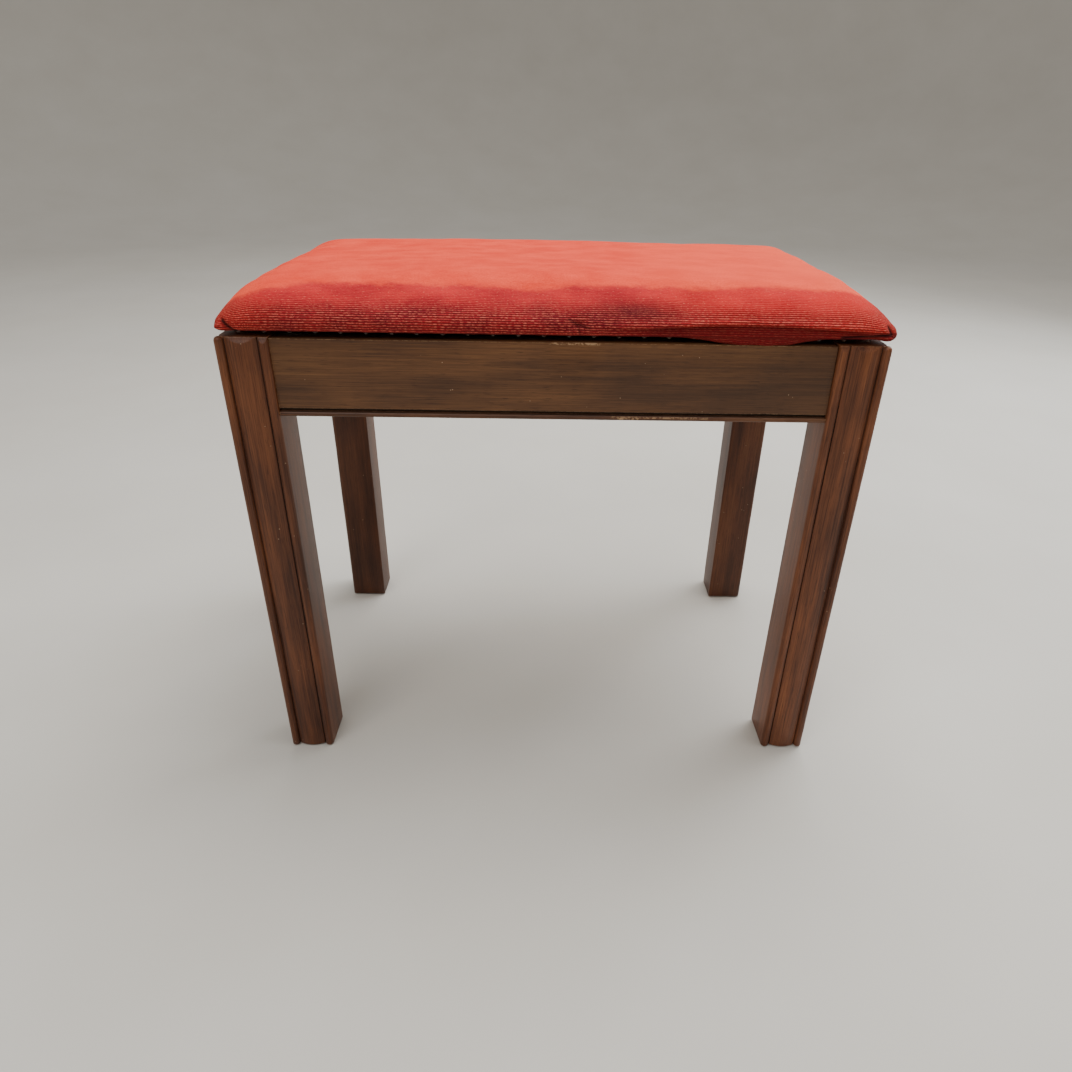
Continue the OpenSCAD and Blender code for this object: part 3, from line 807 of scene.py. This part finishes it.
def draw_pad():
    pad = bmesh.new()
    bmesh.ops.create_cube(pad, size=1)
    low = Vector((seat_left, seat_front, seat_low))
    high = Vector((seat_right, seat_rear, seat_low + 2 * wall))
    fit = Matrix.Translation((low + high) / 2) @ Matrix.Diagonal((*(high - low), 1))
    bmesh.ops.transform(pad, matrix=Matrix.Scale(mm, 4) @ fit, verts=pad.verts[:])
    upright = [e for e in pad.edges if abs(e.verts[0].co.z - e.verts[1].co.z) > mm]
    bmesh.ops.bevel(
        pad, geom=upright, offset=13 * mm, segments=5, profile=0.5, affect="EDGES", material=-1
    )
    data = bpy.data.meshes.new("seat cover")
    pad.to_mesh(data)
    pad.free()
    piece = bpy.data.objects.new("seat.cover", data)
    bpy.context.scene.collection.objects.link(piece)
    remesh(piece, 4)
    where = points(piece.data)
    top = np.clip((where[:, 2] - seat_low - 2) / (2 * wall - 2), 0, 1)
    where[:, 2] += top * (pad_height(where[:, 0], where[:, 1]) - seat_low - 2 * wall)
    move_points(piece.data, where)
    remesh(piece, 6)
    return piece


cover = draw_pad()
print("pad:", len(cover.data.vertices), "points")

# %% [markdown]
# The cover is real cloth over a soft pad, so its form is simulated. Its underside is held
# as the tacks hold it, and a light pressure swells the rest while a weak pull holds it to
# the foam. The pressure is more than a real seat has, so that the cloth finds its folds,
# and then only about a third of the movement is kept.

# %% Let the cloth swell
sim_frames = 20


def swell(piece, share):
    at_rest = points(piece.data)
    held = piece.vertex_groups.new(name="held")
    for i, (x, y, z) in enumerate(at_rest):
        held.add([i], 1.0 if z < seat_low + 1.5 else 0.06, "REPLACE")
    cloth = piece.modifiers.new("cloth", "CLOTH")
    cloth.settings.quality = 7
    cloth.settings.mass = 0.2
    cloth.settings.tension_stiffness = cloth.settings.compression_stiffness = 12
    cloth.settings.shear_stiffness = 4
    cloth.settings.bending_stiffness = 5
    cloth.settings.shrink_min = -0.012
    cloth.settings.use_pressure = True
    cloth.settings.uniform_pressure_force = 1
    cloth.settings.effector_weights.gravity = 0
    cloth.settings.vertex_group_mass = "held"
    cloth.collision_settings.use_collision = False
    cloth.point_cache.frame_start, cloth.point_cache.frame_end = 1, sim_frames
    for frame_number in range(1, sim_frames + 1):
        bpy.context.scene.frame_set(frame_number)
    settle(piece)
    piece.vertex_groups.clear()
    bpy.context.scene.frame_set(1)
    free = ramp_up(at_rest[:, 2], seat_low + 8, seat_low + 26)
    moved = (points(piece.data) - at_rest) * share * free[:, None]
    move_points(piece.data, at_rest + moved)
    far = np.linalg.norm(moved, axis=1)
    print("cloth moved", [round(float(np.percentile(far, p)), 1) for p in (50, 90, 100)], "mm")


swell(cover, 0.35)

# %% [markdown]
# The padding is what the cover lies on. It is the same form, 3.5 mm smaller, and flat
# where it rests on the board, so a copy of the cover is shrunk along its normals, cut
# level just over the board and closed there. It is made before the cover gets its folds.

# %% Padding
padding_low = 465.4
padding = bpy.data.objects.new("seat.padding", cover.data.copy())
bpy.context.scene.collection.objects.link(padding)
where = points(padding.data) - outward(padding.data) * 3.5
move_points(padding.data, where)
wadding = bmesh.new()
wadding.from_mesh(padding.data)
everything = wadding.verts[:] + wadding.edges[:] + wadding.faces[:]
bmesh.ops.bisect_plane(
    wadding, geom=everything, plane_co=(0, 0, padding_low * mm), plane_no=(0, 0, 1), clear_inner=True
)
cut_edges = [e for e in wadding.edges if len(e.link_faces) == 1]
bmesh.ops.holes_fill(wadding, edges=cut_edges, sides=0)
bmesh.ops.recalc_face_normals(wadding, faces=wadding.faces[:])
wadding.to_mesh(padding.data)
wadding.free()
padding.data.shade_smooth()
padding.data.set_sharp_from_angle(angle=math.radians(50))
padding.data.materials.append(finishes["wadding"])
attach(padding, "lid")
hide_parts("seat_padding")
print("padding:", len(padding.data.polygons), "faces,", open_edges(padding), "open edges")

# %% [markdown]
# Small folds need small faces, and a fine mesh everywhere would be heavy. So the cover is
# subdivided once all over, and once or twice more along the lower front and at the two
# front corners.

# %% Finer mesh for the cover
def refine(piece):
    finer = piece.modifiers.new("finer", "SUBSURF")
    finer.levels = finer.render_levels = 1
    settle(piece)
    cloth = bmesh.new()
    cloth.from_mesh(piece.data)
    bmesh.ops.transform(cloth, matrix=Matrix.Scale(1 / mm, 4), verts=cloth.verts[:])
    for low, reach in ((474, 145), (467, 158)):
        folded = []
        for face in cloth.faces:
            x, y, z = face.calc_center_median()
            if z < low and y < -reach and (reach == 145 or x > 5 or x < -250):
                folded.append(face)
        edges = {e for f in folded for e in f.edges}
        bmesh.ops.subdivide_edges(cloth, edges=list(edges), cuts=1, use_grid_fill=True)
    bmesh.ops.transform(cloth, matrix=Matrix.Scale(mm, 4), verts=cloth.verts[:])
    cloth.to_mesh(piece.data)
    cloth.free()


refine(cover)
print("cover:", len(cover.data.polygons), "faces")

# %% [markdown]
# Then come the marks of how the seat was made and used. The cloth is pulled in at each
# tack, it is folded at the corners, it hangs slack under the right half of the front edge,
# and the top has soft hollows. A simulation could not know where these lie, so each is a
# smooth push on the points near it. Last, no point may touch the board that it covers.

# %% Shape the cover
tack_pitch = 20.5
board_corner = 20


def trough(x, z, start, end, width):
    """1 on the line from start to end on the front of the seat, fading over width."""
    ax, az, bx, bz = *start, *end
    length = (bx - ax) ** 2 + (bz - az) ** 2
    along = np.clip(((x - ax) * (bx - ax) + (z - az) * (bz - az)) / length, 0, 1)
    return bell(np.hypot(x - ax - along * (bx - ax), z - az - along * (bz - az)), 0, width)


def lip_height(x):
    """The height of the fold in the front over which the slack cloth hangs."""
    return 458.5 + 5.2 * bell(x, 162, 88)


def soft_hollows(where, out):
    upper = ramp_up(where[:, 2], 460, 478)
    lumps = 1.5 * waves(where, 70, 3.1) + 0.8 * waves(where, 30, 8.2) + 0.25 * waves(where, 12, 5.5)
    side, back = ramp_up(np.abs(where[:, 0]), 225, 262), ramp_up(np.abs(where[:, 1]), 110, 150)
    edge = (0.5 + 0.8 * np.maximum(side, back)) * (1 - 0.8 * side * back)
    where += out * (upper * lumps * edge)[:, None]
    where[:, 2] -= 3.2 * bell(where[:, 0], -146, 9) * ramp_up(where[:, 1], 105, 140) * upper


def front_folds(where):
    """The lip and the slack cloth under it, the tack pulls, and a pucker."""
    x, y, z = where[:, 0].copy(), where[:, 1].copy(), where[:, 2].copy()
    front = ramp_up(-y, 158, 165)
    where[:, 1] += front * 0.4 * np.cos(2 * math.pi * x / tack_pitch) * bell(z, 455, 5)
    lip = lip_height(x)
    slack = ramp_up(x, 22, 90) * (1 - ramp_up(x, 246, 262))
    where[:, 1] += front * slack * 3.2 * (1 - ramp_up(z, lip - 1.0, lip + 0.5))
    where[:, 1] -= front * slack * 1.2 * bell(z, lip + 2.2, 2.6)
    belly = ramp_up(x, 98, 168) * (1 - ramp_up(x, 176, 226))
    rim = ramp_up(-y, 164.6, 167.2)
    where[:, 2] -= (belly * 7.6 + 1.2 * slack) * (1 - ramp_up(z, 452, lip)) * rim
    where[:, 1] -= belly * 0.8 * (1 - ramp_up(z, 451.5, 457)) * rim
    pucker = bell(x, 18, 7) * bell(z, 463, 4.5) * front
    where[:, 1] += 1.8 * pucker
    for lean, amount in ((-1.4, 0.8), (0.4, 0.9), (1.7, 0.7)):
        crease = bell(x - 18 - lean * (z - 463), 0, 2.2)
        where[:, 1] += front * amount * crease * bell(z, 463, 7)


left_fold = [((-270, 461), (-261, 452))]
right_fold = [
    ((274, 463), (276.5, 457.5)), ((276.5, 457.5), (262, 456.4)), ((262, 456.4), (236, 454.6)),
]
pucker_folds = [((10, 466), (17, 462)), ((17, 462), (27, 460)), ((17, 462), (19, 456))]


def folds(x, y, z, lines, width):
    depths = [trough(x, z, start, end, width) for start, end in lines]
    return ramp_up(-y, 140, 150) * np.max(depths, axis=0)


def corner_folds(where):
    """The cloth is folded like a parcel at each front corner, with a slit at the fold."""
    x, y, z = where[:, 0].copy(), where[:, 1].copy(), where[:, 2].copy()
    front = ramp_up(-y, 150, 160)
    left, right = folds(x, y, z, left_fold, 2.0), folds(x, y, z, right_fold, 1.8)
    where[:, 1] += 1.9 * left + 2.2 * right
    where[:, 0] += 1.0 * left - 0.8 * right * ramp_up(x, 270, 276)
    ball = bell(x, -275, 6.5) * bell(z, 456.5, 5.5) * front
    where[:, 0] -= 0.6 * ball
    where[:, 1] -= 1.2 * ball
    under_slit = ramp_up(x, 232, 250) * (1 - ramp_up(x, 266, 274)) * (1 - ramp_up(z, 454, 456.5))
    where[:, 1] += 1.8 * under_slit * front
    where[:, 0] += 0.6 * bell(x, 281, 6) * bell(z, 457, 9) * front
    for corner, drop in ((279, 2.4), (-275, 1.4)):
        lower = (1 - ramp_up(z, 451.5, 458)) * ramp_up(-y, 140, 156)
        where[:, 2] -= drop * bell(x, corner, 8) * lower


def keep_off_board(where, gap=1.7):
    """Moves points that would touch the board out to a gap from it, by the shortest way."""
    board_low, board_high = (np.array(corner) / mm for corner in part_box("seat_board"))
    middle, half = (board_low + board_high) / 2, (board_high - board_low) / 2
    off = where - middle
    past = np.abs(off[:, :2]) - (half[:2] - board_corner)
    corner = np.hypot(*np.maximum(past, 0).T)
    outside = corner + np.minimum(past.max(axis=1), 0) - board_corner
    above = where[:, 2] - board_high[2]
    distance = np.hypot(np.maximum(outside, 0), np.maximum(above, 0))
    distance += np.minimum(np.maximum(outside, above), 0)
    near = (distance < gap) & (where[:, 2] > board_low[2] + 0.1)
    flat = np.where(past > 0, past, 0) / np.maximum(corner, 1e-6)[:, None]
    away = flat * np.sign(off[:, :2])
    over_edge, far = (outside > 0) & (above > 0), np.maximum(distance, 1e-3)
    sideways = np.where(over_edge, outside / far, outside > above)
    upward = np.where(over_edge, above / far, outside <= above)
    push = np.where(near, gap - distance, 0)
    where[:, :2] += away * (push * sideways)[:, None]
    where[:, 2] += push * upward


def shape_cover(piece):
    where, out = points(piece.data), outward(piece.data)
    soft_hollows(where, out)
    front_folds(where)
    corner_folds(where)
    keep_off_board(where)
    move_points(piece.data, where)


shape_cover(cover)

# %% [markdown]
# Under the board only a margin of cloth is turned in and tacked, so the middle of the
# underside is taken out. The rest gets the thickness of plush. The rows of plush follow
# the cloth, so the UV map holds distances measured along it: across the bench, and from
# front to rear over the shoulders. The marks for fading and soil, and for painted light and
# painted shade, are written here too.

# %% Cloth thickness, and where each point lies on the cloth
def open_underside(piece):
    """Leaves a margin of cloth turned under the board, and takes out the rest."""
    cloth = bmesh.new()
    cloth.from_mesh(piece.data)
    middle = []
    for face in cloth.faces:
        x, y, z = face.calc_center_median() / mm
        if face.normal.z < -0.9 and abs(x) < 238 and abs(y) < 129:
            middle.append(face)
    bmesh.ops.delete(cloth, geom=middle, context="FACES")
    cloth.to_mesh(piece.data)
    cloth.free()


def along_section(x, y, z):
    """How far a point is from the front edge, measured on the cloth, front to rear."""
    turn = np.linspace(0, math.pi / 2, 60)
    steps = np.hypot(shoulder_back * np.sin(turn), dome * np.cos(turn)) * turn[1]
    reached = np.cumsum(steps) - steps[0]
    to_edge = np.minimum(y - seat_front, seat_rear - y)
    to_side = np.minimum(x - seat_left, seat_right - x)
    fullness = np.maximum(rise(to_side, shoulder_across), 0.25)
    on_side = ramp_up(to_edge - to_side, -3, 3)
    level = np.maximum(z - seat_low - wall, 0) / (dome * fullness)
    level += on_side * (rise(to_edge, shoulder_back) - level)
    angle = np.arctan2(level, np.maximum(1 - to_edge / shoulder_back, 1e-3))
    on_cloth = np.interp(angle, turn, reached) + np.maximum(to_edge - shoulder_back, 0)
    turned_under = to_edge * (1 - ramp_up(z, seat_low + 0.2, seat_low + 1.5))
    on_cloth -= (1 - on_side) * (np.maximum(seat_low + wall - z, 0) + turned_under)
    whole = 2 * reached[-1] + seat_rear - seat_front - 2 * shoulder_back
    return np.where(y < (seat_front + seat_rear) / 2, on_cloth, whole - on_cloth)


def lay_cloth(piece):
    """Writes the UV map and the attributes that the plush reads."""
    data = piece.data
    where = points(data)
    x, y, z = where.T
    across = along_section(x, y, z)
    along = x + np.sign(x) * np.maximum(0, 484 - z) * ramp_up(np.abs(x), 240, 270)
    uv = data.uv_layers.new(name="cloth")
    corner = np.empty(len(data.loops), np.int32)
    data.loops.foreach_get("vertex_index", corner)
    flat = np.stack([along[corner], across[corner]], 1) * mm
    uv.data.foreach_set("uv", flat.astype(np.float32).ravel())
    border = -132 + 4 * waves(where * (1, 0, 0), 55, 2.2)
    border += 5 * ramp_up(x, 150, 250) - 12 * ramp_up(-x, 195, 262)
    # painted light: brighter towards the right end and near the left front corner
    right_end = 0.55 * ramp_up(x, 50, 130) + 0.45 * ramp_up(x, 190, 265)
    from_left_end = np.linalg.norm((where - (-272, -160, 466)) / (60, 60, 26), axis=1)
    under_lip = 1 - ramp_up(z, lip_height(x) - 1.2, lip_height(x) + 0.4)
    marks = {
        # faded where people sit, and painted light on the top
        "crown": ramp_up(y - border, -15, 11) * ramp_up(z, 462, 474),
        "orange": np.maximum(right_end, np.maximum(0, 1 - from_left_end)),
        "soil": bell(x, 62, 34) * bell(z, 472, 8) * bell(y, -155, 14),
        # painted shade under the front lip
        "tucked": ramp_up(x, 22, 90) * under_lip * ramp_up(-y, 150, 160),
        # painted shade towards the bottom of the sides; the rows are deeper there too
        "depth": 1 - ramp_up(z, 461, 486),
        # painted shade in the folds and slits
        "fold": np.max([
            folds(x, y, z, left_fold, 1.3), folds(x, y, z, right_fold, 1.2),
            0.6 * folds(x, y, z, pucker_folds, 0.9),
        ], axis=0),
    }
    for name, amount in marks.items():
        layer = data.attributes.new(name, "FLOAT", "POINT")
        layer.data.foreach_set("value", amount.astype(np.float32))


open_underside(cover)
lay_cloth(cover)
cover.data.shade_smooth()
cover.data.materials.append(finishes["velvet"])
thickness = cover.modifiers.new("thickness", "SOLIDIFY")
thickness.thickness, thickness.offset = 0.0012, -1
settle(cover)
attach(cover, "lid")
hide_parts("seat_cover")
print("cover:", len(cover.data.polygons), "faces,", open_edges(cover), "open edges")

# %% [markdown]
# The floor is a wide pale dish that curves up all round, out of sight. The light comes
# from large soft panels, as in a studio: a wide one overhead, one from the front left,
# and a smaller, cooler one behind that edges the leg tops.

# %% Floor and light
floor_radius, floor_rise, floor_bend = 7, 3.5, 3
floor_mesh = bmesh.new()
bmesh.ops.create_circle(floor_mesh, cap_ends=True, radius=floor_radius, segments=96)
rim = [e for e in floor_mesh.edges if len(e.link_faces) == 1]
raised = bmesh.ops.extrude_edge_only(floor_mesh, edges=rim)["geom"]
wall_top = [v for v in raised if isinstance(v, bmesh.types.BMVert)]
bmesh.ops.translate(floor_mesh, verts=wall_top, vec=(0, 0, floor_rise))
bmesh.ops.bevel(
    floor_mesh, geom=rim, offset=floor_bend, segments=16, profile=0.5, affect="EDGES", material=-1
)
bmesh.ops.recalc_face_normals(floor_mesh, faces=floor_mesh.faces[:])
bmesh.ops.reverse_faces(floor_mesh, faces=floor_mesh.faces[:])
floor_data = bpy.data.meshes.new("floor")
floor_mesh.to_mesh(floor_data)
floor_mesh.free()
floor_data.shade_smooth()
floor = bpy.data.objects.new("floor", floor_data)
bpy.context.scene.collection.objects.link(floor)
floor_finish = Finish("floor", Specular_IOR_Level=0.2)
patches = floor_finish.noise(floor_finish.place((3, 3, 3)), 3, 0.6)
floor_tone = floor_finish.mix(patches, paint(198, 193, 183), paint(210, 206, 198))
floor_finish.set("Base Color", floor_tone)
floor_finish.set("Roughness", 0.75 + patches * 0.1)
floor_data.materials.append(floor_finish.material)


def soft_light(name, place, aim, size, power, colour=(1, 1, 1)):
    panel = bpy.data.lights.new(name, "AREA")
    panel.shape, panel.size, panel.size_y = "RECTANGLE", size[0], size[1]
    panel.energy, panel.color = power, colour
    lamp = bpy.data.objects.new(name, panel)
    bpy.context.scene.collection.objects.link(lamp)
    lamp.location = place
    lamp.rotation_mode = "QUATERNION"
    lamp.rotation_quaternion = (Vector(aim) - Vector(place)).to_track_quat("-Z", "Y")


soft_light("overhead light", (0.6, 0.6, 2.6), (0, 0, 0.3), (2.2, 1.8), 88)
soft_light("front light", (-0.9, -1.6, 2.2), (0, 0, 0.3), (1.5, 1.0), 22)
soft_light("rear light", (2.0, 1.2, 1.3), (0.1, 0, 0.4), (1.2, 0.8), 26, (0.88, 0.94, 1.0))
world = bpy.data.worlds.new("studio")
world.use_nodes = True
air = world.node_tree.nodes["Background"].inputs
air["Color"].default_value, air["Strength"].default_value = (1.0, 0.98, 0.96, 1), 0.5
bpy.context.scene.world = world
